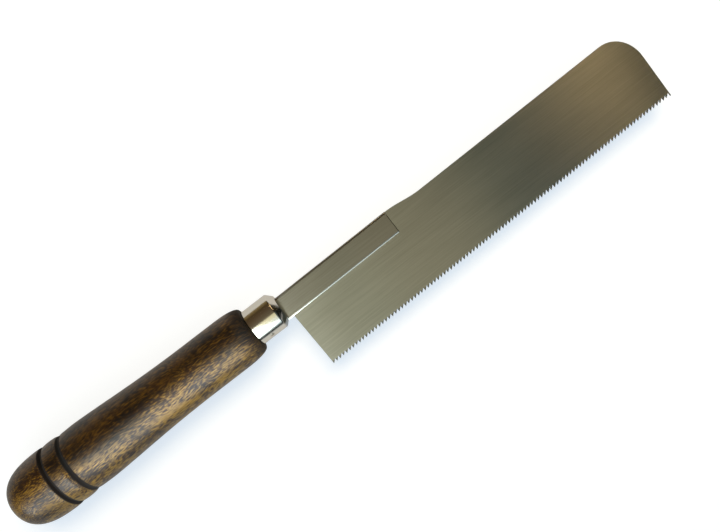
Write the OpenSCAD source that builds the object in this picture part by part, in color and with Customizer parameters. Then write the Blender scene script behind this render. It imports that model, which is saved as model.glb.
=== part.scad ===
// Flush cut saw: a turned wooden handle, a plated ferrule with its pin,
// a folded steel back and a thin plate with fine teeth.
// Millimetres. X runs along the handle's axis towards the toe, Y points to the back
// and Z is square to the plate. The origin is on the handle's axis, at the wood's shoulder
// where the ferrule begins.

/* [Handle] */
// Length of the wood from the butt to the shoulder behind the ferrule
handle_len = 117.5; // [95:0.5:150]
// Diameter of the swell near the butt, the thickest place
swell_dia = 27.7; // [24:0.1:34]
// Distance of the swell from the butt
swell_from_butt = 19.6; // [15:0.1:21.5]
// Distance of the first groove from the butt
groove_from_butt = 22.6; // [21:0.1:27]
// Distance between the two grooves
groove_gap = 8.4; // [6:0.1:11]
// Depth of the grooves
groove_depth = 1.0; // [0.4:0.05:1.5]
// Width of the grooves
groove_w = 1.6; // [0.8:0.05:2.2]
// Diameter of the bead between the grooves
bead_dia = 27.5; // [25:0.1:29]
// Diameter of the palm swell ahead of the grooves
palm_dia = 26.9; // [25:0.1:29]
// Distance of the palm swell from the butt
palm_from_butt = 38; // [35:0.5:46]
// Diameter of the slim grip
grip_dia = 23.1; // [20:0.1:25]
// Length of the slim grip, up to where the shoulder starts to round over
grip_len = 17; // [8:0.5:30]
// Length over which the front end rounds over to the shoulder
shoulder_round = 10.5; // [5:0.5:14]
// Diameter of the flat shoulder that the ferrule butts against
shoulder_dia = 18.4; // [17.5:0.1:20]

/* [Ferrule] */
// Outside diameter of the ferrule
ferrule_dia = 15.9; // [14:0.1:17]
// Length of its straight wall
ferrule_len = 11.9; // [10:0.1:16]
// Length of the bevelled nose that closes its front end
ferrule_nose = 2.5; // [1.5:0.1:3.5]
// Thickness of its wall
ferrule_wall = 0.8; // [0.5:0.05:1.2]
// Radius that rounds its two outer edges
ferrule_edge = 0.4; // [0.2:0.05:0.6]

/* [Ferrule pin] */
// Diameter of the pin's head
pin_head_dia = 1.7; // [1.4:0.05:2.4]
// Diameter of the pin's shank
pin_shank_dia = 1.1; // [0.8:0.05:1.3]
// Length of the shank in the wood
pin_shank_len = 4.5; // [3:0.1:5]
// Distance of the pin from the wood's shoulder
pin_from_shoulder = 5.4; // [3:0.1:7]
// Turn of the pin round the axis, from square to the plate towards the teeth
pin_turn = 55; // [40:1:75]

/* [Back] */
// Length of the fold along the plate's top, from the heel to its front end
back_len = 54.6; // [40:0.1:75]
// Thickness of the sheet that the back is folded from
back_sheet = 0.75; // [0.5:0.05:1]
// Depth of the fold, from its round top to the legs' lower edges
back_depth = 10.25; // [8:0.05:12]
// Length over which the fold is pressed thinner towards the ferrule
neck_len = 5; // [3:0.5:8]
// Thickness of the pressed neck and of the tang
tang_t = 1.6; // [1.3:0.05:1.9]
// Length of the tang inside the handle
tang_len = 34; // [20:1:60]
// Depth of the tang at its rear end
tang_tip = 5; // [3:0.1:7]

/* [Plate] */
// Thickness of the saw plate
plate_t = 0.6; // [0.4:0.05:0.8]
// Length of the tooth line, from the heel to the toe
plate_len = 177.8; // [130:0.1:220]
// Depth from the plate's top edge to the tooth points
plate_depth = 34.2; // [28:0.1:45]
// Height of the plate's top edge over the handle's axis
plate_rise = 2.15; // [1:0.05:3]
// Height of the hump in the top edge ahead of the back
hump_rise = 1.65; // [0.5:0.05:2]
// Length over which the hump runs out into the top edge
hump_len = 17; // [8:0.5:30]
// How far the rounded nose reaches back along the top edge
nose_len = 12.5; // [6:0.1:20]
// How far the rounded nose reaches down the toe edge
nose_drop = 14; // [6:0.1:20]
// Distance of the heel's tooth point from the wood's shoulder
heel_from_shoulder = 16.8; // [16:0.1:25]
// How far the heel edge leans back from the tooth point to the fold
heel_lean = 0.5; // [0:0.05:1]
// Angle by which the plate and the back lean off the handle's axis
plate_cant = 0.9; // [0:0.05:2]

/* [Teeth] */
// Nominal distance between two points, near 15 to the inch
tooth_pitch = 1.71; // [1.2:0.01:2.5]
// Depth of the teeth
tooth_depth = 1.7; // [0.8:0.05:2.2]
// Where the gullet lies between two points, so that the steep faces look to the handle
gullet_share = 0.92; // [0.6:0.01:0.95]
// Angle at which the file crosses the plate, to one side and the other in turn
tooth_fleam = 12; // [6:1:20]
// Width of the flat that is left at the toe
toe_land = 0.4; // [0.1:0.05:1]

/* [Hidden] */
$fn = 96;

// Clearances between pieces that fit together
tang_clear = 0.1;
spigot_clear = 0.05;
pin_clear = 0.03;
fold_clear = 0.02;
// What cuts and blanks run past the faces that they meet
overrun = 1;
// Number of steps in each curved stretch of an outline
curve_steps = 14;

// Handle: radii and places along the axis, counted from the wood's shoulder
swell_r = swell_dia / 2;
bead_r = bead_dia / 2;
palm_r = palm_dia / 2;
grip_r = grip_dia / 2;
shoulder_r = shoulder_dia / 2;
butt_x = -handle_len;
swell_x = butt_x + swell_from_butt;
groove_1_x = butt_x + groove_from_butt;
groove_2_x = groove_1_x + groove_gap;
palm_x = butt_x + palm_from_butt;
shoulder_x = -shoulder_round;
grip_x = shoulder_x - grip_len;
// How full the butt's dome is, across and along
dome_fullness_share = 0.84;
dome_run_share = 0.41;
// How the palm swell runs down into the grip
palm_run_share = 0.27;
palm_drop_share = 0.2;
grip_run_share = 0.55;
// How full the round of the shoulder is, along and across
round_run_share = 0.6;
round_fullness_share = 0.6;
// How far the bead falls away towards its grooves
bead_fall = 0.15;
// How far the wood falls away on the outer side of each groove
groove_fall = 0.15;
// The second groove has a wider slope on the side of the bead
groove_slope_share = 1.5;

// Ferrule
ferrule_r = ferrule_dia / 2;
ferrule_bore_r = ferrule_r - ferrule_wall;
ferrule_end_x = ferrule_len + ferrule_nose;
// The nose is a bevel of 45 degrees, so it closes in by its own length
nose_face_r = ferrule_r - ferrule_nose;
// A wall of even thickness round the bevel's inner corner
nose_inset = ferrule_wall * tan(22.5);
spigot_r = ferrule_bore_r - spigot_clear;
spigot_end_x = ferrule_end_x - ferrule_wall - spigot_clear;
// Where the inner bevel starts
spigot_bevel_x = ferrule_len - nose_inset;

// Ferrule pin
pin_head_r = pin_head_dia / 2;
pin_shank_r = pin_shank_dia / 2;
pin_dome = 0.2;
pin_dome_r = (pin_head_r * pin_head_r + pin_dome * pin_dome) / (2 * pin_dome);

// Plate
toe_x = heel_from_shoulder + plate_len;
tooth_y = plate_rise - plate_depth;
tooth_count = round((plate_len - toe_land) / tooth_pitch);
tooth_step = (plate_len - toe_land) / tooth_count;
// How far the file's slant moves a gullet along the teeth at either face of the plate
fleam_shift = plate_t / 2 * tan(tooth_fleam);
// A gullet is this much wider than the step, so that two passes meet in a point on one face
file_overlap = 2 * fleam_shift + 0.02;
// Run of the gullet's two sides for each unit of depth
steep_run = (1 - gullet_share) * (tooth_step + file_overlap) / tooth_depth;
slope_run = gullet_share * (tooth_step + file_overlap) / tooth_depth;
file_depth = tooth_depth + 0.4;
// Length of a pass, enough to run out of both faces of the plate at any slant
file_len = plate_t + 4 * overrun;

// Back
heel_x = heel_from_shoulder - heel_lean;
back_front_x = heel_x + back_len;
fold_r = back_sheet + plate_t / 2 + fold_clear;
fold_inner_r = fold_r - back_sheet;
// The fold's top stands this much over the hump that its front end butts against
back_proud = 0.15;
back_top_y = plate_rise + hump_rise + back_proud;
back_low_y = back_top_y - back_depth;
// Corner taken off the legs' front ends
back_chamfer = 0.5;
// Shallow bevel along the legs' lower edges
leg_bevel_w = 0.65;
leg_bevel_drop = 0.3;
leg_bevel_angle = atan(leg_bevel_drop / leg_bevel_w);
neck_x = heel_x + neck_len;
tang_x = ferrule_end_x;
tang_end_x = tang_x - tang_len;
tang_mid_y = (back_top_y + back_low_y) / 2;
// Where the plate ends inside the fold
plate_seat_y = back_top_y - back_sheet - fold_inner_r - fold_clear;

// Point on a curve with four control points
function curve_point(a, b, c, d, t) =
    pow(1 - t, 3) * a + 3 * pow(1 - t, 2) * t * b + 3 * (1 - t) * t * t * c + pow(t, 3) * d;

// Points along that curve, without its last one
function curve(a, b, c, d) =
    [for (i = [0 : curve_steps - 1]) curve_point(a, b, c, d, i / curve_steps)];

// Points along an arc about a centre, with its radii along X and Y, from one angle to another
function arc(centre, r_x, r_y, from, to) =
    [for (i = [0 : curve_steps])
        let (angle = from + (to - from) * i / curve_steps)
            centre + [r_x * cos(angle), r_y * sin(angle)]];

// Turns a profile with X along the axis and Y as the radius about the X axis
module turned() {
    rotate([0, 90, 0])
        rotate_extrude()
            rotate(90)
                mirror([0, 1])
                    children();
}

// Places a child in the plane of the plate, leaned off the handle's axis
module on_plate() {
    rotate(plate_cant)
        children();
}

// Extrudes an outline in the plate's plane to a thickness, even on both sides
module slab(thickness) {
    linear_extrude(thickness, center = true)
        children();
}

// Outline of the turned wood: dome, grooves with their bead, palm swell, grip and shoulder
function handle_points() = concat(
    curve([butt_x, 0], [butt_x, swell_r * dome_fullness_share],
          [butt_x + swell_from_butt * dome_run_share, swell_r], [swell_x, swell_r]),
    [[swell_x, swell_r]],
    [[groove_1_x - groove_w / 2, swell_r - groove_fall],
     [groove_1_x, bead_r - groove_depth],
     [groove_1_x + groove_w / 2, bead_r - bead_fall],
     [groove_1_x + groove_gap / 2 - groove_w / 2, bead_r],
     [groove_2_x - groove_w * groove_slope_share, bead_r - bead_fall],
     [groove_2_x, bead_r - groove_depth],
     [groove_2_x + groove_w / 2, palm_r - groove_fall]],
    curve([palm_x, palm_r],
          [palm_x + (grip_x - palm_x) * palm_run_share, palm_r - (palm_r - grip_r) * palm_drop_share],
          [palm_x + (grip_x - palm_x) * grip_run_share, grip_r], [grip_x, grip_r]),
    [[grip_x, grip_r]],
    curve([shoulder_x, grip_r], [shoulder_x * (1 - round_run_share), grip_r],
          [0, shoulder_r + (grip_r - shoulder_r) * round_fullness_share], [0, shoulder_r]),
    [[0, shoulder_r], [0, spigot_r], [spigot_bevel_x, spigot_r],
     [spigot_end_x, spigot_r - (spigot_end_x - spigot_bevel_x)], [spigot_end_x, 0]]);

// Wood with its slot for the tang and its hole for the ferrule's pin
module handle() {
    color("#4a2f1a")
        difference() {
            turned()
                polygon(handle_points());
            on_plate()
                slab(tang_t + 2 * tang_clear)
                    tang_slot();
            on_pin()
                cylinder(h = pin_shank_len + pin_clear + overrun, r = pin_shank_r + pin_clear);
        }
}

// The tang's outline with its clearance all round
module tang_slot() {
    polygon([[tang_x + overrun, back_top_y + tang_clear],
             [tang_x + overrun, back_low_y - tang_clear],
             [tang_end_x - tang_clear, tang_mid_y - tang_tip / 2 - tang_clear],
             [tang_end_x - tang_clear, tang_mid_y + tang_tip / 2 + tang_clear]]);
}

// Puts the pin's own axis, with its head at the far end, square to the ferrule's wall
module on_pin() {
    translate([pin_from_shoulder, 0, 0])
        rotate([pin_turn, 0, 0])
            translate([0, 0, ferrule_bore_r - pin_shank_len])
                children();
}

// Ferrule: a drawn cup whose bevelled nose has a slot for the tang
module ferrule() {
    color("#c9c6bd")
        difference() {
            turned()
                polygon(concat(
                    [[0, ferrule_bore_r]],
                    arc([ferrule_edge, ferrule_r - ferrule_edge], ferrule_edge, ferrule_edge, 180, 90),
                    [[ferrule_len, ferrule_r],
                     [ferrule_end_x, nose_face_r],
                     [ferrule_end_x, 0],
                     [ferrule_end_x - ferrule_wall, 0],
                     [ferrule_end_x - ferrule_wall, nose_face_r - nose_inset],
                     [spigot_bevel_x, ferrule_bore_r]]));
            on_plate()
                slab(tang_t + 2 * tang_clear)
                    tang_slot();
            on_pin()
                cylinder(h = pin_shank_len + ferrule_wall + overrun, r = pin_head_r + pin_clear);
        }
}

// Ferrule pin: a shank in the wood and a low domed head in the ferrule's wall
module ferrule_pin() {
    color("#b9b3a4")
        on_pin()
            union() {
                cylinder(h = pin_shank_len + ferrule_wall / 2, r = pin_shank_r);
                translate([0, 0, pin_shank_len + spigot_clear])
                    intersection() {
                        cylinder(h = ferrule_wall + pin_dome, r = pin_head_r);
                        translate([0, 0, ferrule_wall + pin_dome - pin_dome_r])
                            sphere(r = pin_dome_r);
                    }
            }
}

// Outline of the back and its tang, seen square to the plate
module back_outline() {
    polygon([[back_front_x, back_top_y],
             [back_front_x, back_low_y],
             [heel_x, back_low_y],
             [tang_x, back_low_y],
             [tang_end_x, tang_mid_y - tang_tip / 2],
             [tang_end_x, tang_mid_y + tang_tip / 2],
             [tang_x, back_top_y]]);
}

// Thickness of the back along its length: full over the fold, pressed thinner at the neck
module back_thickness() {
    rotate([90, 0, 0])
        linear_extrude(2 * (back_depth + overrun), center = true)
            polygon([[back_front_x, back_chamfer - fold_r],
                     [back_front_x - back_chamfer, -fold_r],
                     [neck_x, -fold_r],
                     [tang_x, -tang_t / 2],
                     [tang_end_x - overrun, -tang_t / 2],
                     [tang_end_x - overrun, tang_t / 2],
                     [tang_x, tang_t / 2],
                     [neck_x, fold_r],
                     [back_front_x - back_chamfer, fold_r],
                     [back_front_x, fold_r - back_chamfer]]);
}

// The folded section: a half round on top of two flat legs
module fold_section(r, top_y, low_y, from_x, to_x) {
    translate([from_x, top_y - r, 0])
        rotate([0, 90, 0])
            cylinder(h = to_x - from_x, r = r);
    translate([from_x, low_y, -r])
        cube([to_x - from_x, top_y - r - low_y, 2 * r]);
}

// A bar whose lower face bevels a leg's lower edge
module leg_bevel() {
    translate([back_front_x, back_low_y, fold_r])
        rotate([leg_bevel_angle, 0, 0])
            cube([2 * (back_len + overrun), 2 * overrun, 2 * leg_bevel_w * sin(leg_bevel_angle)],
                 center = true);
}

// Back: sheet folded over the plate's top edge, with a tang that goes into the handle
module back() {
    color("#8b8b7c")
        on_plate()
            difference() {
                intersection() {
                    slab(2 * fold_r)
                        back_outline();
                    back_thickness();
                    fold_section(fold_r, back_top_y, back_low_y - overrun, tang_end_x - overrun,
                                 back_front_x + overrun);
                }
                fold_section(fold_inner_r, back_top_y - back_sheet, back_low_y - overrun,
                             heel_x - fold_clear, back_front_x + overrun);
                leg_bevel();
                mirror([0, 0, 1])
                    leg_bevel();
            }
}

// One pass of the file: a V across the plate that leaves the steep side of a tooth and the slope of
// the one before it
module file_pass(slant) {
    rotate([0, slant, 0])
        slab(file_len)
            polygon([[0, 0],
                     [-slope_run * file_depth, -file_depth],
                     [steep_run * file_depth, -file_depth]]);
}

// All passes of the file from the heel to the toe, slanted to one side and the other in turn
module file_passes() {
    for (i = [0 : tooth_count - 1])
        translate([heel_from_shoulder + (i + gullet_share) * tooth_step, tooth_y + tooth_depth, 0])
            file_pass(i % 2 == 0 ? tooth_fleam : -tooth_fleam);
}

// The hump's run out into the top edge, from its foot up to the back's front end
function hump_points() = [for (i = [0 : curve_steps])
    [back_front_x + hump_len * (1 - i / curve_steps),
     plate_rise + hump_rise * (1 - cos(180 * i / curve_steps)) / 2]];

// Plate: toothed below, rounded at the nose, with a shoulder where the back's front end stops
module saw_plate() {
    color("#85867a")
        on_plate()
            difference() {
                slab(plate_t)
                    polygon(concat(
                        [[heel_from_shoulder, tooth_y], [toe_x, tooth_y]],
                        arc([toe_x - nose_len, plate_rise - nose_drop], nose_len, nose_drop, 0, 90),
                        hump_points(),
                        [[back_front_x, plate_seat_y], [heel_x, plate_seat_y], [heel_x, back_low_y]]));
                file_passes();
            }
}

handle();
ferrule();
ferrule_pin();
back();
saw_plate();
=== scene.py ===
"""Looks of a flush cut saw: a turned walnut handle, a nickel plated ferrule, a folded steel back
and a thin toothed plate, lying on a white table in a bright room with four soft lamps."""

import math

import bmesh
import bpy
from bpy.props import FloatProperty, FloatVectorProperty, PointerProperty
from mathutils import Matrix, Vector


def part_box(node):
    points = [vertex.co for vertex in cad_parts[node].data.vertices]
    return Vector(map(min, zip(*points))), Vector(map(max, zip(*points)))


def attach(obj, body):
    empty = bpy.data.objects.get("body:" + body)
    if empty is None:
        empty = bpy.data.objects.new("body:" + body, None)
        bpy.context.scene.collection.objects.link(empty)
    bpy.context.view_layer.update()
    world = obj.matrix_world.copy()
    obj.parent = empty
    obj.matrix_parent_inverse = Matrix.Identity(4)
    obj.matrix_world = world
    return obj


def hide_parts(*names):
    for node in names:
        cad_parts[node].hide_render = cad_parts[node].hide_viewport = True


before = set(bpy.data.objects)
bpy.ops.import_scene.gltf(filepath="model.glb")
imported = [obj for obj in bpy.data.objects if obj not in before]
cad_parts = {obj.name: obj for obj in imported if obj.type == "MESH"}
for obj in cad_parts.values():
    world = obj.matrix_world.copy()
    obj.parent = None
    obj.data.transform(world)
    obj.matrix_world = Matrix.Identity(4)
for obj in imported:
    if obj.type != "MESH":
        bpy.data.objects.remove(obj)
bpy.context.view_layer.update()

bl_info = {
    "name": "Flush cut saw",
    "version": (1, 0, 0),
    "blender": (4, 5, 0),
    "location": "View3D > Sidebar > Saw",
    "description": "Builds the finished pieces of a flush cut saw and its stage",
    "category": "Add Mesh",
}

MM = 0.001
SAME_PLACE = 0.01 * MM  # two lengths that differ by less are the same


def linear(code):
    """Turns an sRGB hex value into a linear colour."""
    parts = [int(code[i:i + 2], 16) / 255 for i in (1, 3, 5)]
    return tuple(c / 12.92 if c <= 0.04045 else ((c + 0.055) / 1.055) ** 2.4 for c in parts)


# Sizes and colours that a user would change

class SawSettings(bpy.types.PropertyGroup):
    """Sizes and colours of the saw's pieces."""

    plate_cant: FloatProperty(
        name="Plate cant", description="Angle of the plate and the back off the handle's axis",
        default=math.radians(0.9), subtype="ANGLE")
    ferrule_nose: FloatProperty(
        name="Ferrule nose", description="Length of the ferrule's bevelled nose",
        default=2.5 * MM, unit="LENGTH")
    ferrule_wall: FloatProperty(
        name="Ferrule wall", description="Thickness of the ferrule's wall",
        default=0.8 * MM, unit="LENGTH")
    sheet: FloatProperty(
        name="Back sheet", description="Thickness of the sheet that the back is folded from",
        default=0.75 * MM, unit="LENGTH")
    neck_len: FloatProperty(
        name="Neck length", description="Length over which the back is pressed thinner",
        default=5 * MM, unit="LENGTH")
    tang_t: FloatProperty(
        name="Tang thickness", description="Thickness of the pressed neck and the tang",
        default=1.6 * MM, unit="LENGTH")
    tang_len: FloatProperty(
        name="Tang length", description="Length of the tang inside the handle",
        default=34 * MM, unit="LENGTH")
    tang_tip: FloatProperty(
        name="Tang tip", description="Depth of the tang at its rear end",
        default=5 * MM, unit="LENGTH")
    edge_round: FloatProperty(
        name="Edge round", description="Width of the round on the ferrule's edges",
        default=0.35 * MM, unit="LENGTH")
    leg_chamfer: FloatProperty(
        name="Leg chamfer", description="Width of the chamfer along the back's lower edges",
        default=0.65 * MM, unit="LENGTH")
    leg_drop: FloatProperty(
        name="Leg drop", description="Depth of that chamfer into the sheet",
        default=0.3 * MM, unit="LENGTH")
    burr: FloatProperty(
        name="Plate edge", description="Corner taken off the plate's edges",
        default=0.07 * MM, unit="LENGTH")
    wood_dark: FloatVectorProperty(
        name="Stain", description="Colour of the stained wood", subtype="COLOR",
        default=linear("#472a06"), min=0, max=1)
    wood_gold: FloatVectorProperty(
        name="Flecks", description="Colour of the golden flecks in the wood", subtype="COLOR",
        default=linear("#9b7c2c"), min=0, max=1)
    plate_steel: FloatVectorProperty(
        name="Plate steel", description="Colour of the plate's brushed steel", subtype="COLOR",
        default=linear("#b5b7ae"), min=0, max=1)
    back_steel: FloatVectorProperty(
        name="Back steel", description="Colour of the back's brushed steel", subtype="COLOR",
        default=linear("#a2a198"), min=0, max=1)
    nickel: FloatVectorProperty(
        name="Nickel", description="Colour of the nickel plate", subtype="COLOR",
        default=linear("#dfded7"), min=0, max=1)


def settings():
    """The sizes and colours in use."""
    return bpy.context.scene.saw_settings


# Small helpers for modelling

def clear_selection():
    """Leaves edit mode and selects nothing."""
    if bpy.context.object and bpy.context.object.mode != "OBJECT":
        bpy.ops.object.mode_set(mode="OBJECT")
    bpy.ops.object.select_all(action="DESELECT")


def pick(obj, mode, test):
    """In edit mode, selects the vertices, edges or faces that pass a test and nothing else."""
    mesh = bmesh.from_edit_mesh(obj.data)
    mesh.select_mode = {mode}
    kinds = {"VERT": mesh.verts, "EDGE": mesh.edges, "FACE": mesh.faces}
    for items in kinds.values():
        for item in items:
            item.select = False
    for item in kinds[mode]:
        if test(item):
            item.select_set(True)
    mesh.select_flush_mode()
    bmesh.update_edit_mesh(obj.data)
    bpy.context.tool_settings.mesh_select_mode = [kind == mode for kind in kinds]


def close_to(a, b):
    """True for two lengths that are the same."""
    return abs(a - b) < SAME_PLACE


def push(offset):
    """Extrudes what is selected by an offset."""
    bpy.ops.mesh.extrude_region_move(TRANSFORM_OT_translate={"value": offset})


def scale_about(factors, centre):
    """Scales what is selected about a point."""
    bpy.ops.transform.resize(value=factors, center_override=centre)


def apply_modifier(obj, kind, **values):
    """Adds a modifier with its settings and applies it."""
    modifier = obj.modifiers.new(kind.lower(), kind)
    for name, value in values.items():
        setattr(modifier, name, value)
    bpy.context.view_layer.objects.active = obj
    bpy.ops.object.modifier_apply(modifier=modifier.name)


def finish_piece(obj, name, node, material):
    """Puts a piece's place into its mesh, gives it its finish, hangs it on the root body and hides
    its CAD node.
    """
    clear_selection()
    obj.select_set(True)
    bpy.context.view_layer.objects.active = obj
    bpy.ops.object.transform_apply(location=True, rotation=True, scale=True)
    obj.name = name
    obj.data.name = name
    obj.data.materials.clear()
    obj.data.materials.append(material)
    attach(obj, "root")
    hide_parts(node)
    clear_selection()


def plate_frame():
    """Turns the plate's own directions into the handle's."""
    return Matrix.Rotation(settings().plate_cant, 4, "Z")


def box_in_plate(node):
    """Lowest and highest corner of a node along the plate's own directions."""
    back = plate_frame().inverted()
    points = [back @ v.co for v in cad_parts[node].data.vertices]
    low = Vector([min(p[i] for p in points) for i in range(3)])
    high = Vector([max(p[i] for p in points) for i in range(3)])
    return low, high


# Materials

# Inputs of a mix node by number, because its number and colour inputs share their names
MIX_BY, NUMBER_A, NUMBER_B, COLOUR_A, COLOUR_B = 0, 2, 3, 6, 7
MIXED_NUMBER, MIXED_COLOUR = 0, 2


def add_node(tree, kind, values=None, stops=(), **own):
    """Adds a node. Values and links go to its inputs by name or number, stops of a place and a
    colour to its colour ramp, and the rest are its own settings."""
    node = tree.nodes.new(kind)
    for name, value in own.items():
        setattr(node, name, value)
    for key, value in (values or {}).items():
        if isinstance(value, bpy.types.NodeSocket):
            tree.links.new(value, node.inputs[key])
        else:
            node.inputs[key].default_value = value
    for _ in stops[2:]:
        node.color_ramp.elements.new(0.5)
    for number, (place, colour) in enumerate(stops):
        element = node.color_ramp.elements[number]
        element.position = place
        element.color = (*colour[:3], 1)
    return node


def new_material(name):
    """An empty material with its shader and its object coordinates."""
    material = bpy.data.materials.new(name)
    material.use_nodes = True
    tree = material.node_tree
    shader = tree.nodes["Principled BSDF"]
    coords = add_node(tree, "ShaderNodeTexCoord").outputs["Object"]
    return material, tree, shader, coords


# The wood's patterns: sizes along and across the grain, and places along the handle
GRAIN_SLANT = (0, math.radians(4), math.radians(5))
SWAY_LENGTH = 32 * MM
SWAY = 8 * MM
FLECK = (2.6 * MM, 0.28 * MM)
PATCH = (20 * MM, 6 * MM)
PORE = (3.2 * MM, 0.42 * MM)
PATCH_SHARE = 0.5  # of a patch in the colour, next to the flecks
GROOVE_DEPTH = 0.3 * MM  # at least, below the rings on both sides
GROOVES_BEFORE = -50 * MM  # both lie between the butt and this place
# Painted shade in the grooves and at the shoulder: its reach from a groove, and its span behind the
# shoulder
HOLLOW_SHADE_INNER, HOLLOW_SHADE_OUTER = 0.8 * MM, 1.5 * MM
SHOULDER_DARK, SHOULDER_CLEAR = -0.5 * MM, -7 * MM

# Painted shade on the side of the back: its border, and the dome at the butt
SHADE_FROM, SHADE_FULL = 3 * MM, 11 * MM
SHADE_RAGGED = 14 * MM  # how far the patches fray its border
SHADE_BEND, SHADE_BEND_LENGTH, SHADE_BEND_START = 2.3 * MM, 62 * MM, 47.5 * MM
DOME_FROM, DOME_FULL = -94 * MM, -97 * MM
DOME_SHIFT = 6 * MM
DOME_SHADE = 0.32  # least on the dome


def stained_walnut():
    """Walnut turned on a lathe, stained dark and sprayed with a semi-gloss lacquer. To the eye it
    is a near black brown with fine short golden flecks along a slanting grain, under a soft sheen.
    Painted shade makes the two grooves and the shoulder look almost black, and darkens the side of
    the back."""
    material, tree, shader, coords = new_material("stained_walnut_lacquered")
    brown = Vector(settings().wood_dark)
    gold = Vector(settings().wood_gold)
    sway = add_node(tree, "ShaderNodeTexNoise", {
        "Vector": coords, "Scale": 1 / SWAY_LENGTH, "Detail": 1.0})
    wavy = add_node(tree, "ShaderNodeVectorMath", {
        0: sway.outputs["Color"], 1: (0, SWAY, SWAY), 2: coords},
        operation="MULTIPLY_ADD").outputs[0]
    fleck = grain_noise(tree, wavy, FLECK, detail=1.5)
    patch = grain_noise(tree, wavy, PATCH, detail=1.0)
    pore = grain_noise(tree, wavy, PORE, detail=2.0)
    total = add_node(tree, "ShaderNodeMath", {
        0: patch, 1: PATCH_SHARE, 2: fleck}, operation="MULTIPLY_ADD").outputs[0]
    colour = add_node(tree, "ShaderNodeValToRGB", {"Fac": total}, stops=[
        (0.675, brown * 0.28), (0.73, brown * 0.9), (0.785, brown.lerp(gold, 0.5)),
        (0.85, gold * 1.3)]).outputs["Color"]
    hollow_shade = painted_hollow_shade(tree, coords)
    # Painted shade: the grooves and the shoulder turn near black
    hollow_shaded = add_node(tree, "ShaderNodeMix", {
        MIX_BY: hollow_shade, COLOUR_A: (*(brown * 0.1), 1), COLOUR_B: colour},
        data_type="RGBA").outputs[MIXED_COLOUR]
    # Painted shade: a deeper, redder brown on the side of the back and over the dome
    shaded_colour = add_node(tree, "ShaderNodeMix", {
        MIX_BY: painted_shade_side(tree, coords, patch, fleck), COLOUR_A: hollow_shaded,
        COLOUR_B: (0.08, 0.055, 0.03, 1)},
        data_type="RGBA", blend_type="MULTIPLY").outputs[MIXED_COLOUR]
    bump = add_node(tree, "ShaderNodeBump", {
        "Height": pore, "Strength": 0.9, "Distance": 0.13 * MM})
    # The stain leaves the open grain dull, and the lacquer shines on the flecks between
    shine = add_node(tree, "ShaderNodeMapRange", {
        "Value": fleck, "From Min": 0.4, "From Max": 0.58,
        "To Min": 0.43, "To Max": 0.3}).outputs["Result"]
    rough = add_node(tree, "ShaderNodeMix", {
        MIX_BY: hollow_shade, NUMBER_A: 0.95, NUMBER_B: shine},
        data_type="FLOAT").outputs[MIXED_NUMBER]
    tree.links.new(shaded_colour, shader.inputs["Base Color"])
    tree.links.new(bump.outputs["Normal"], shader.inputs["Normal"])
    tree.links.new(rough, shader.inputs["Roughness"])
    shader.inputs["IOR"].default_value = 1.5
    shader.inputs["Specular IOR Level"].default_value = 0.56
    return material


def painted_shade_side(tree, coords, patch, fleck):
    """One along the side of the back, where painted shade makes the wood deeper and redder. Its
    border wanders along the handle and keeps to the rim of the dome, and a share of it covers the
    whole dome. The flecks shine through it a little."""
    parts = add_node(tree, "ShaderNodeSeparateXYZ", {"Vector": coords})
    turn = add_node(tree, "ShaderNodeMath", {
        0: parts.outputs["X"], 1: math.tau / SHADE_BEND_LENGTH,
        2: math.tau * SHADE_BEND_START / SHADE_BEND_LENGTH}, operation="MULTIPLY_ADD")
    wave = add_node(tree, "ShaderNodeMath", {0: turn.outputs[0]}, operation="SINE").outputs[0]
    dome = add_node(tree, "ShaderNodeMapRange", {
        "Value": parts.outputs["X"],
        "From Min": DOME_FROM, "From Max": DOME_FULL}).outputs["Result"]
    edge = parts.outputs["Y"]
    for pattern, reach in ((patch, SHADE_RAGGED), (wave, -SHADE_BEND), (dome, -DOME_SHIFT)):
        edge = add_node(tree, "ShaderNodeMath", {
            0: pattern, 1: reach, 2: edge}, operation="MULTIPLY_ADD").outputs[0]
    least = add_node(tree, "ShaderNodeMath", {
        0: dome, 1: DOME_SHADE}, operation="MULTIPLY").outputs[0]
    most = add_node(tree, "ShaderNodeMapRange", {
        "Value": fleck, "From Min": 0.52, "From Max": 0.62,
        "To Min": 1.0, "To Max": 0.84}).outputs["Result"]
    return add_node(tree, "ShaderNodeMapRange", {
        "Value": edge, "From Min": SHADE_FROM, "From Max": SHADE_FULL,
        "To Min": least, "To Max": most}, interpolation_type="SMOOTHSTEP").outputs["Result"]


def grain_noise(tree, coords, size, detail):
    """Noise whose spots have a size along and across the grain, which slants across the handle."""
    along, across = size
    grain = add_node(tree, "ShaderNodeMapping", {
        "Vector": coords, "Rotation": GRAIN_SLANT,
        "Scale": (1 / along, 1 / across, 1 / across)}).outputs["Vector"]
    return add_node(tree, "ShaderNodeTexNoise", {
        "Vector": grain, "Scale": 1.0, "Detail": detail, "Roughness": 0.6}).outputs["Fac"]


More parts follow.
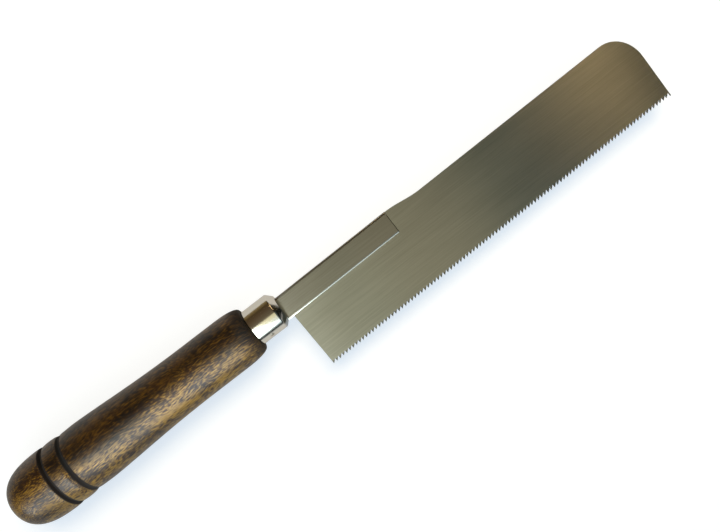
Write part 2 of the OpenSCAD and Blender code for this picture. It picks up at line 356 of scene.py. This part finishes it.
def painted_hollow_shade(tree, coords):
    """Zero where the wood gets painted shade, in the grooves and at the shoulder, and one
    elsewhere.
    """
    rings = turned_rings("handle")
    grooves = [here[0] for before, here, after in zip(rings, rings[1:], rings[2:])
               if here[1] < min(before[1], after[1]) - GROOVE_DEPTH and here[0] < GROOVES_BEFORE]
    x = add_node(tree, "ShaderNodeSeparateXYZ", {"Vector": coords}).outputs["X"]
    total = add_node(tree, "ShaderNodeMapRange", {
        "Value": x, "From Min": SHOULDER_DARK, "From Max": SHOULDER_CLEAR,
        "To Min": 0.25, "To Max": 1.0}, interpolation_type="SMOOTHSTEP").outputs["Result"]
    for groove in grooves:
        away = add_node(tree, "ShaderNodeMath", {0: x, 1: groove}, operation="SUBTRACT").outputs[0]
        away = add_node(tree, "ShaderNodeMath", {0: away}, operation="ABSOLUTE").outputs[0]
        clear = add_node(tree, "ShaderNodeMapRange", {
            "Value": away, "From Min": HOLLOW_SHADE_INNER, "From Max": HOLLOW_SHADE_OUTER},
            interpolation_type="SMOOTHSTEP").outputs["Result"]
        total = add_node(tree, "ShaderNodeMath", {
            0: total, 1: clear}, operation="MULTIPLY").outputs[0]
    return total


# Brushed steel: sizes along and across the brushing. A worked edge has a colour and a roughness
STREAK = (26 * MM, 0.45 * MM)
CLOUD = (38 * MM, 16 * MM)
CLOUD_SHARE = 0.35
# The back's ground bevel: brighter, smoother steel, with a painted highlight in its near white
# colour
GROUND_BEVEL_AND_HIGHLIGHT = ("#f4f7f2", 0.2)
GROUND_SHARE = 0.45  # of the chamfer on the back's lower edge
# A darker band along the teeth, and its roughness
TEETH_EDGE = ("#82837a", 0.34)
TEETH_EDGE_DEPTH = 1.3 * MM  # up from the points of the teeth


def brushed_steel(name, tint, rough, height, edge):
    """Spring steel ground and brushed lengthwise. To the eye it is a soft grey that spreads what
    it mirrors across the brushing, with faint long streaks. The real lines are finer than the
    picture shows, so they are drawn half a millimetre apart. Below a height, the steel has an edge
    of another colour and roughness: on the back's ground bevel it is brighter, smoother steel whose
    near white is partly a painted highlight, and along the teeth it is darker."""
    material, tree, shader, coords = new_material(name)
    turned = (0, 0, -settings().plate_cant)
    lines = add_node(tree, "ShaderNodeMapping", {
        "Vector": coords, "Rotation": turned,
        "Scale": (1 / STREAK[0], 1 / STREAK[1], 1 / STREAK[1])}).outputs["Vector"]
    streak = add_node(tree, "ShaderNodeTexNoise", {
        "Vector": lines, "Scale": 1.0, "Detail": 5.0, "Roughness": 0.7}).outputs["Fac"]
    clouds = add_node(tree, "ShaderNodeMapping", {
        "Vector": coords,
        "Scale": (1 / CLOUD[0], 1 / CLOUD[1], 1 / CLOUD[1])}).outputs["Vector"]
    cloud = add_node(tree, "ShaderNodeTexNoise", {
        "Vector": clouds, "Scale": 1.0, "Detail": 2.0, "Roughness": 0.5}).outputs["Fac"]
    both = add_node(tree, "ShaderNodeMath", {
        0: cloud, 1: CLOUD_SHARE, 2: streak}, operation="MULTIPLY_ADD").outputs[0]
    colour = add_node(tree, "ShaderNodeValToRGB", {"Fac": both}, stops=[
        (0.45, Vector(tint) * 0.8), (0.9, Vector(tint) * 1.08)]).outputs["Color"]
    spread = add_node(tree, "ShaderNodeMapRange", {
        "Value": streak, "From Min": 0.3, "From Max": 0.7,
        "To Min": rough - 0.015, "To Max": rough + 0.02}).outputs["Result"]
    along = add_node(tree, "ShaderNodeMapping", {
        "Vector": coords, "Rotation": turned}).outputs["Vector"]
    parts = add_node(tree, "ShaderNodeSeparateXYZ", {"Vector": along})
    below = add_node(tree, "ShaderNodeMath", {
        0: parts.outputs["Y"], 1: height}, operation="LESS_THAN").outputs[0]
    edge_colour, edge_rough = edge
    colour = add_node(tree, "ShaderNodeMix", {
        MIX_BY: below, COLOUR_A: colour, COLOUR_B: (*linear(edge_colour), 1)},
        data_type="RGBA").outputs[MIXED_COLOUR]
    spread = add_node(tree, "ShaderNodeMix", {
        MIX_BY: below, NUMBER_A: spread, NUMBER_B: edge_rough},
        data_type="FLOAT").outputs[MIXED_NUMBER]
    bump = add_node(tree, "ShaderNodeBump", {
        "Height": streak, "Strength": 0.05, "Distance": 0.05 * MM})
    tangent = add_node(tree, "ShaderNodeTangent", direction_type="RADIAL", axis="Y")
    tree.links.new(colour, shader.inputs["Base Color"])
    tree.links.new(spread, shader.inputs["Roughness"])
    tree.links.new(bump.outputs["Normal"], shader.inputs["Normal"])
    tree.links.new(tangent.outputs["Tangent"], shader.inputs["Tangent"])
    shader.inputs["Metallic"].default_value = 1.0
    shader.inputs["Anisotropic"].default_value = 1.0
    shader.inputs["Anisotropic Rotation"].default_value = 0.25
    return material


DENT_SPACING = 5 * MM  # in the drawn ferrule
MARK_SPACING = 0.6 * MM  # on the set end of the pin


def nickel_plate():
    """Sheet brass drawn to a cup, nickel plated and polished. To the eye it is a warm mirror with a
    few soft dents."""
    material, tree, shader, coords = new_material("polished_nickel_plate")
    dents = add_node(tree, "ShaderNodeTexNoise", {
        "Vector": coords, "Scale": 1 / DENT_SPACING, "Detail": 1.0}).outputs["Fac"]
    bump = add_node(tree, "ShaderNodeBump", {
        "Height": dents, "Strength": 0.07, "Distance": 0.1 * MM})
    tree.links.new(bump.outputs["Normal"], shader.inputs["Normal"])
    shader.inputs["Base Color"].default_value = (*settings().nickel, 1)
    shader.inputs["Metallic"].default_value = 1.0
    shader.inputs["Roughness"].default_value = 0.17
    return material


def pin_steel():
    """Bright drawn wire, cut and set. To the eye it is a small dull grey dot."""
    material, tree, shader, coords = new_material("set_pin_steel")
    marks = add_node(tree, "ShaderNodeTexNoise", {
        "Vector": coords, "Scale": 1 / MARK_SPACING, "Detail": 2.0}).outputs["Fac"]
    colour = add_node(tree, "ShaderNodeValToRGB", {"Fac": marks}, stops=[
        (0.35, linear("#a9a498")), (0.7, linear("#d0cbc0"))]).outputs["Color"]
    tree.links.new(colour, shader.inputs["Base Color"])
    shader.inputs["Metallic"].default_value = 1.0
    shader.inputs["Roughness"].default_value = 0.35
    return material


# Pieces

FULL_RING = 16  # points that a ring of a turned node has at least
RING_GAP = 0.05 * MM
SHARP_TURN = math.radians(14)
EASE_REACH = 0.2 * MM  # from a corner to the points beside it
EASE_SHARE = 0.3  # of the way to the next ring, at most
HANDLE_SIDES = 96
FERRULE_SIDES = 160
FACING = 0.9  # a face looks along the axis when its normal has this much of it
SLOT_CLEARANCE = 0.1 * MM
FOLD_SHARE = 0.995  # of half the back's thickness, so that the top keeps a narrow flat
CHANNEL_SHARE = 0.9  # of half the channel's width


def turned_rings(node):
    """Places along the axis and radii of a turned node, from the rings of its mesh. Where the
    outline steps, the wider ring comes first."""
    rings = {}
    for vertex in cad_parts[node].data.vertices:
        x, y, z = vertex.co
        ring = (round(x, 6), round(math.hypot(y, z), 5))
        rings.setdefault(ring, set()).add(round(math.atan2(y, z), 3))
    full = [ring for ring, angles in rings.items() if len(angles) >= FULL_RING]
    outline = []
    for ring in sorted(full, key=lambda ring: (ring[0], -ring[1])):
        if not outline or (Vector(ring) - Vector(outline[-1])).length > RING_GAP:
            outline.append(ring)
    return outline


def ease_corners(outline):
    """Puts a point on both sides of each sharp corner, so that smoothing hardly rounds it."""
    eased = [outline[0]]
    for before, here, after in zip(outline, outline[1:], outline[2:]):
        a, b, c = Vector(before), Vector(here), Vector(after)
        if (b - a).angle(c - b) < SHARP_TURN:
            eased.append(here)
            continue
        for other in (a, c):
            step = other - b
            eased.append(tuple(b + step.normalized() * min(EASE_REACH, step.length * EASE_SHARE)))
    eased.append(outline[-1])
    return eased


class SAW_OT_handle(bpy.types.Operator):
    """Turn the wooden handle, ring by ring from the butt to the end of its spigot"""

    bl_idname = "saw.add_handle"
    bl_label = "Turned handle"

    def execute(self, context):
        clear_selection()
        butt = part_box("handle")[0].x
        rings = ease_corners(turned_rings("handle"))
        start, radius = rings[0]
        bpy.ops.mesh.primitive_circle_add(
            vertices=HANDLE_SIDES, radius=radius, fill_type="NGON",
            location=(start, 0, 0), rotation=(0, math.pi / 2, 0))
        wood = context.object
        bpy.ops.object.transform_apply(location=True, rotation=True, scale=True)
        bpy.ops.object.mode_set(mode="EDIT")
        for (x, r), (next_x, next_r) in zip(rings, rings[1:]):
            pick(wood, "EDGE", lambda e: all(close_to(v.co.x, x) and close_to(v.co.yz.length, r)
                                             for v in e.verts))
            push((next_x - x, 0, 0))
            scale_about((1, next_r / r, next_r / r), (next_x, 0, 0))
        bpy.ops.mesh.edge_face_add()
        # The first ring's face gets a point in its middle, drawn out to the end of the dome
        pick(wood, "FACE", lambda f: len(f.verts) > 4 and close_to(f.calc_center_median().x, start))
        bpy.ops.mesh.poke(offset=0)
        pick(wood, "VERT", lambda v: close_to(v.co.yz.length, 0) and close_to(v.co.x, start))
        bpy.ops.transform.translate(value=(butt - start, 0, 0))
        pick(wood, "FACE", lambda f: True)
        bpy.ops.mesh.normals_make_consistent(inside=False)
        bpy.ops.object.mode_set(mode="OBJECT")
        apply_modifier(wood, "SUBSURF", levels=1, render_levels=1)
        bpy.ops.object.shade_smooth()
        finish_piece(wood, "turned_handle", "handle", stained_walnut())
        return {"FINISHED"}


class SAW_OT_ferrule(bpy.types.Operator):
    """Draw the ferrule's cup with its bevelled nose and slot, and finish the pin"""

    bl_idname = "saw.add_ferrule"
    bl_label = "Ferrule and pin"

    def execute(self, context):
        use = settings()
        clear_selection()
        low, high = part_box("ferrule")
        radius = high.z
        wall_len = high.x - low.x - use.ferrule_nose
        bpy.ops.mesh.primitive_cylinder_add(
            vertices=FERRULE_SIDES, radius=radius, depth=wall_len, end_fill_type="NGON",
            location=(low.x + wall_len / 2, 0, 0), rotation=(0, math.pi / 2, 0))
        cup = context.object
        bpy.ops.object.transform_apply(location=True, rotation=True, scale=True)
        bpy.ops.object.mode_set(mode="EDIT")
        front = low.x + wall_len
        pick(cup, "FACE", lambda f: f.normal.x > FACING)
        push((use.ferrule_nose, 0, 0))
        closed = (radius - use.ferrule_nose) / radius
        scale_about((1, closed, closed), (high.x, 0, 0))
        pick(cup, "EDGE", lambda e: close_to(e.verts[0].co.x, e.verts[1].co.x))
        bpy.ops.mesh.bevel(offset=use.edge_round, segments=4)
        # The cup is hollowed from its rear face, with the same wall all over
        pick(cup, "FACE", lambda f: f.normal.x < -FACING and len(f.verts) > 4)
        bpy.ops.mesh.inset(thickness=use.ferrule_wall - use.edge_round)
        push((front - low.x, 0, 0))
        inner = radius - use.ferrule_wall
        shut = (inner - use.ferrule_nose + use.ferrule_wall) / inner
        push((use.ferrule_nose - use.ferrule_wall, 0, 0))
        scale_about((1, shut, shut), (high.x - use.ferrule_wall, 0, 0))
        pick(cup, "FACE", lambda f: True)
        bpy.ops.mesh.normals_make_consistent(inside=False)
        bpy.ops.object.mode_set(mode="OBJECT")
        self.cut_slot(context, cup)
        finish_piece(cup, "plated_ferrule", "ferrule", nickel_plate())
        cup.select_set(True)
        bpy.ops.object.shade_smooth_by_angle(angle=math.radians(25))
        clear_selection()
        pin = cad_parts["ferrule_pin"]
        pin.data.materials.clear()
        pin.data.materials.append(pin_steel())
        return {"FINISHED"}

    def cut_slot(self, context, cup):
        """Cuts the tang's slot through the nose."""
        use = settings()
        low, high = box_in_plate("back")
        nose_end = max(corner[0] for corner in cup.bound_box)
        centre = plate_frame() @ Vector((nose_end, (low.y + high.y) / 2, 0))
        bpy.ops.mesh.primitive_cube_add(size=1, location=centre, rotation=(0, 0, use.plate_cant))
        cutter = context.object
        # Three times as long as the nose, so that it goes right through
        cutter.scale = (
            use.ferrule_nose * 3, high.y - low.y + 2 * SLOT_CLEARANCE,
            use.tang_t + 2 * SLOT_CLEARANCE)
        bpy.ops.object.transform_apply(location=True, rotation=True, scale=True)
        apply_modifier(cup, "BOOLEAN", object=cutter, operation="DIFFERENCE", solver="MANIFOLD")
        bpy.data.objects.remove(cutter)


class SAW_OT_back(bpy.types.Operator):
    """Fold the steel back, press its neck and draw out its tang"""

    bl_idname = "saw.add_back"
    bl_label = "Folded back"

    def execute(self, context):
        use = settings()
        clear_selection()
        low, high = box_in_plate("back")
        heel = box_in_plate("saw_plate")[0].x
        nose_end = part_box("ferrule")[1].x
        neck = heel + use.neck_len
        half = high.z
        middle = (high.y + low.y) / 2
        bpy.ops.mesh.primitive_cube_add(size=1, location=((high.x + neck) / 2, middle, 0))
        strip = context.object
        strip.scale = (high.x - neck, high.y - low.y, 2 * half)
        bpy.ops.object.transform_apply(location=True, rotation=True, scale=True)
        bpy.ops.object.mode_set(mode="EDIT")
        pick(strip, "EDGE", lambda e: all(close_to(v.co.y, high.y) for v in e.verts)
             and close_to(e.verts[0].co.z, e.verts[1].co.z))
        bpy.ops.mesh.bevel(offset=half * FOLD_SHARE, segments=10)
        pick(strip, "EDGE", lambda e: all(close_to(v.co.y, low.y) for v in e.verts)
             and close_to(e.verts[0].co.z, e.verts[1].co.z))
        bpy.ops.mesh.bevel(offset=use.leg_chamfer, segments=1)
        for side in (-1, 1):
            pick(strip, "VERT", lambda v: close_to(v.co.y, low.y) and v.co.z * side > 0)
            bpy.ops.transform.translate(value=(0, 0, side * (use.leg_chamfer - use.leg_drop)))
        pick(strip, "FACE", lambda f: f.normal.x < -FACING)
        push((nose_end - neck, 0, 0))
        scale_about((1, 1, use.tang_t / (2 * half)), (nose_end, middle, 0))
        push((-use.tang_len, 0, 0))
        tang_end = (nose_end - use.tang_len, middle, 0)
        scale_about((1, use.tang_tip / (high.y - low.y), 1), tang_end)
        pick(strip, "EDGE", lambda e: all(close_to(v.co.x, high.x) and v.co.y < high.y - half / 2
                                          for v in e.verts))
        bpy.ops.mesh.bevel(offset=use.leg_drop, segments=1)
        bpy.ops.object.mode_set(mode="OBJECT")
        self.cut_channel(context, strip, heel, low, high)
        strip.matrix_world = plate_frame()
        # The chamfer's lower part gets that colour, with its painted highlight
        ground = low.y + GROUND_SHARE * use.leg_chamfer
        steel = brushed_steel("brushed_strip_steel", use.back_steel, 0.3, ground, GROUND_BEVEL_AND_HIGHLIGHT)
        finish_piece(strip, "folded_back", "back", steel)
        strip.select_set(True)
        bpy.ops.object.shade_smooth_by_angle(angle=math.radians(20))
        apply_modifier(strip, "WEIGHTED_NORMAL", keep_sharp=True, weight=100)
        return {"FINISHED"}

    def cut_channel(self, context, strip, heel, low, high):
        """Cuts the channel between the legs, in which the plate sits."""
        use = settings()
        inner = high.z - use.sheet
        top = high.y - use.sheet
        bpy.ops.mesh.primitive_cube_add(
            size=1, location=((heel + high.x + MM) / 2, (top + low.y - MM) / 2, 0))
        cutter = context.object
        cutter.scale = (high.x + MM - heel, top - low.y + MM, 2 * inner)
        bpy.ops.object.transform_apply(location=True, rotation=True, scale=True)
        apply_modifier(cutter, "BEVEL", width=inner * CHANNEL_SHARE, segments=4)
        apply_modifier(strip, "BOOLEAN", object=cutter, operation="DIFFERENCE", solver="MANIFOLD")
        bpy.data.objects.remove(cutter)


class SAW_OT_plate(bpy.types.Operator):
    """Take the toothed plate's outline and break its edges"""

    bl_idname = "saw.add_plate"
    bl_label = "Toothed plate"

    def execute(self, context):
        use = settings()
        clear_selection()
        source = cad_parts["saw_plate"]
        plate = bpy.data.objects.new("toothed_plate", source.data.copy())
        context.scene.collection.objects.link(plate)
        plate.select_set(True)
        context.view_layer.objects.active = plate
        bpy.ops.object.mode_set(mode="EDIT")
        pick(plate, "FACE", lambda f: True)
        bpy.ops.mesh.remove_doubles(threshold=0.002 * MM)
        bpy.ops.mesh.dissolve_limited(angle_limit=math.radians(0.5))
        bpy.ops.object.mode_set(mode="OBJECT")
        apply_modifier(plate, "BEVEL", width=use.burr, segments=1, limit_method="ANGLE",
                       angle_limit=math.radians(60))
        teeth_edge = box_in_plate("saw_plate")[0].y + TEETH_EDGE_DEPTH
        steel = brushed_steel("brushed_spring_steel", use.plate_steel, 0.29, teeth_edge, TEETH_EDGE)
        finish_piece(plate, "toothed_plate", "saw_plate", steel)
        return {"FINISHED"}


# Stage

CAMERA_PLACE = (41.556 * MM, 19.205 * MM, 296.777 * MM)
CAMERA_TURN = (-4.941, -1.585, -37.419)
FOCAL_PIXELS = 733.713
FRAME_PIXELS = 720
SENSOR = 36

TABLE_SIDE = 0.8
TABLE_GAP = 0.02 * MM
GLOSS_SHARE = 0.3  # of the table's own glow that shows in metal

# Lamps: name, place, size, direction of the long side, radiance, colour and what leaves them out
LAMPS = (
    ("cool_window", (-0.235, -0.38, 0.53), (0.8, 0.26), (0.25, -0.68, -0.38), 6.5, "#eef5f2",
     "visible_diffuse"),
    ("warm_key", (0.22, 0.39, 0.8), (0.4, 0.6), (0, 1, 0), 9.6, "#ffe3b4", "visible_glossy"),
    ("warm_card", (0.475, 0.56, 0.61), (0.6, 0.065), (0, 1, 0), 9.6, "#ffd79c", "visible_diffuse"),
    ("butt_card", (-0.785, -0.36, 0.48), (0.4, 0.4), (0, 1, 0), 6.0, "#dce8f2", "visible_diffuse"),
)

# The room as the metal mirrors it, from the horizon up: beside the teeth and beside the back
TEETH_SIDE = (
    (0.2, "#2b2c2a"), (0.35, "#eafcff"), (0.6, "#f3fbff"), (0.9, "#fff8dc"), (1.0, "#ffeebc"))
BACK_SIDE = (
    (0.0, "#8a7650"), (0.16, "#7c6540"), (0.4, "#4e3d26"), (0.75, "#5c4935"), (1.0, "#6b5b45"))
# What is left of both from the handle's end of the room, at 0, to the toe's end, at 1
ALONG = (
    (0.36, (0.96, 0.98, 0.98)), (0.45, (0.93, 0.98, 1)), (0.5, (0.85, 0.93, 1)),
    (0.55, (0.8, 0.82, 0.84)), (0.59, (0.76, 0.76, 0.76)), (0.66, (0.68, 0.68, 0.68)),
    (0.69, (0.56, 0.56, 0.56)), (0.725, (0.33, 0.37, 0.39)), (0.756, (0.15, 0.22, 0.28)),
    (0.81, (0.03, 0.11, 0.2)), (1.0, (0.12, 0.13, 0.12)))


def soft_box(name, place, size, along, radiance, colour, left_out):
    """A rectangular lamp that looks at the saw, with its long side along a given direction. It
    lights either the diffuse surfaces or, as a glowing card, only what the gloss mirrors."""
    lamp = bpy.data.lights.new(name, "AREA")
    lamp.shape = "RECTANGLE"
    lamp.size, lamp.size_y = size
    lamp.energy = radiance * math.pi * size[0] * size[1]
    lamp.color = linear(colour)
    holder = bpy.data.objects.new(name, lamp)
    bpy.context.scene.collection.objects.link(holder)
    back = Vector(place).normalized()
    x_axis = (Vector(along) - back * Vector(along).dot(back)).normalized()
    y_axis = back.cross(x_axis)
    turn = Matrix((x_axis, y_axis, back)).transposed().to_4x4()
    holder.matrix_world = Matrix.Translation(place) @ turn
    setattr(holder, left_out, False)


class SAW_OT_stage(bpy.types.Operator):
    """Set the white table, the soft lamps, the room and the camera"""

    bl_idname = "saw.add_stage"
    bl_label = "Table, light and camera"

    def execute(self, context):
        clear_selection()
        self.table(context)
        for lamp in LAMPS:
            soft_box(*lamp)
        self.room(context)
        self.camera(context)
        context.scene.view_settings.view_transform = "Standard"
        return {"FINISHED"}

    def table(self, context):
        """A table that the swell of the handle touches. It is a mid grey with a pale glow for the
        camera, so that it looks white and keeps the saw's bluish shadow."""
        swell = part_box("handle")[1].z
        bpy.ops.mesh.primitive_grid_add(
            x_subdivisions=2, y_subdivisions=2, size=1, location=(0, 0, -swell - TABLE_GAP))
        table = context.object
        table.name = "white_table"
        table.scale = (TABLE_SIDE, TABLE_SIDE, 1)
        bpy.ops.object.transform_apply(location=True, rotation=True, scale=True)
        material, tree, shader, _ = new_material("white_laminate")
        shader.inputs["Base Color"].default_value = (*linear("#bcbcbc"), 1)
        shader.inputs["Roughness"].default_value = 0.8
        glow = add_node(tree, "ShaderNodeEmission", {
            "Color": (0.82, 0.92, 1.02, 1), "Strength": 0.67})
        none = add_node(tree, "ShaderNodeEmission", {"Strength": 0.0})
        extra = add_node(tree, "ShaderNodeMixShader", {
            MIX_BY: self.seen(tree), 1: none.outputs[0], 2: glow.outputs[0]})
        total = add_node(tree, "ShaderNodeAddShader", {0: shader.outputs[0], 1: extra.outputs[0]})
        tree.links.new(total.outputs[0], tree.nodes["Material Output"].inputs["Surface"])
        table.data.materials.append(material)

    def seen(self, tree):
        """One for what the camera sees straight or through glass, and a share of it in metal."""
        rays = add_node(tree, "ShaderNodeLightPath").outputs
        gloss = add_node(tree, "ShaderNodeMath", {
            0: rays["Is Glossy Ray"], 1: GLOSS_SHARE}, operation="MULTIPLY").outputs[0]
        pair = add_node(tree, "ShaderNodeMath", {
            0: rays["Is Camera Ray"], 1: gloss}, operation="MAXIMUM").outputs[0]
        return add_node(tree, "ShaderNodeMath", {
            0: pair, 1: rays["Is Transmission Ray"]}, operation="MAXIMUM").outputs[0]

    def room(self, context):
        """A room that is dark behind the saw's back and bright on the teeth's side. It looks white
        to the camera, and diffuse surfaces get a soft fill from it."""
        world = bpy.data.worlds.new("studio")
        context.scene.world = world
        world.use_nodes = True
        tree = world.node_tree
        background = tree.nodes["Background"]
        way = add_node(tree, "ShaderNodeTexCoord").outputs["Generated"]
        parts = add_node(tree, "ShaderNodeSeparateXYZ", {"Vector": way}).outputs
        teeth_side, back_side = [
            add_node(tree, "ShaderNodeValToRGB", {"Fac": parts["Z"]}, stops=[
                (place, linear(code)) for place, code in side]).outputs["Color"]
            for side in (TEETH_SIDE, BACK_SIDE)]
        near = add_node(tree, "ShaderNodeMapRange", {
            "Value": parts["Y"], "From Min": 0.06, "From Max": -0.06},
            interpolation_type="SMOOTHSTEP").outputs["Result"]
        along = add_node(tree, "ShaderNodeMath", {
            0: parts["X"], 1: 0.5}, operation="ADD").outputs[0]
        left = add_node(tree, "ShaderNodeValToRGB", {"Fac": along}, stops=ALONG).outputs["Color"]
        both = add_node(tree, "ShaderNodeMix", {
            MIX_BY: near, COLOUR_A: back_side, COLOUR_B: teeth_side},
            data_type="RGBA").outputs[MIXED_COLOUR]
        mirrored = add_node(tree, "ShaderNodeMix", {
            MIX_BY: 1.0, COLOUR_A: both, COLOUR_B: left},
            data_type="RGBA", blend_type="MULTIPLY").outputs[MIXED_COLOUR]
        fill = add_node(tree, "ShaderNodeMix", {
            MIX_BY: near, COLOUR_A: (0.24, 0.27, 0.32, 1), COLOUR_B: (0.39, 0.43, 0.49, 1)},
            data_type="RGBA").outputs[MIXED_COLOUR]
        rays = add_node(tree, "ShaderNodeLightPath").outputs
        lit = add_node(tree, "ShaderNodeMix", {
            MIX_BY: rays["Is Diffuse Ray"], COLOUR_A: mirrored, COLOUR_B: fill},
            data_type="RGBA").outputs[MIXED_COLOUR]
        straight = add_node(tree, "ShaderNodeMath", {
            0: rays["Is Camera Ray"], 1: rays["Is Transmission Ray"]},
            operation="MAXIMUM").outputs[0]
        final = add_node(tree, "ShaderNodeMix", {
            MIX_BY: straight, COLOUR_A: lit, COLOUR_B: (1, 1, 1, 1)},
            data_type="RGBA").outputs[MIXED_COLOUR]
        tree.links.new(final, background.inputs["Color"])
        background.inputs["Strength"].default_value = 1.0

    def camera(self, context):
        """The camera above the plate, as the photograph was taken."""
        lens = bpy.data.cameras.new("camera")
        lens.sensor_width = SENSOR
        lens.lens = FOCAL_PIXELS * SENSOR / FRAME_PIXELS
        lens.clip_start = 0.01
        lens.clip_end = 20
        camera = bpy.data.objects.new("camera", lens)
        context.scene.collection.objects.link(camera)
        camera.rotation_mode = "ZXY"
        camera.rotation_euler = [math.radians(angle) for angle in CAMERA_TURN]
        camera.location = CAMERA_PLACE
        context.scene.camera = camera


PIECES = (SAW_OT_handle, SAW_OT_ferrule, SAW_OT_back, SAW_OT_plate, SAW_OT_stage)


class SAW_PT_panel(bpy.types.Panel):
    """Lists the saw's pieces and their settings"""

    bl_idname = "SAW_PT_panel"
    bl_label = "Flush cut saw"
    bl_space_type = "VIEW_3D"
    bl_region_type = "UI"
    bl_category = "Saw"

    def draw(self, context):
        for piece in PIECES:
            self.layout.operator(piece.bl_idname)
        for name in SawSettings.__annotations__:
            self.layout.prop(context.scene.saw_settings, name)


CLASSES = (SawSettings, *PIECES, SAW_PT_panel)


def register():
    """Registers the classes and hangs the settings on the scene."""
    for item in CLASSES:
        bpy.utils.register_class(item)
    bpy.types.Scene.saw_settings = PointerProperty(type=SawSettings)


def unregister():
    """Takes the settings and the classes away again."""
    del bpy.types.Scene.saw_settings
    for item in reversed(CLASSES):
        bpy.utils.unregister_class(item)


def main():
    """Builds every piece and the stage."""
    register()
    bpy.ops.saw.add_handle()
    bpy.ops.saw.add_ferrule()
    bpy.ops.saw.add_back()
    bpy.ops.saw.add_plate()
    bpy.ops.saw.add_stage()


if __name__ == "__main__":
    main()
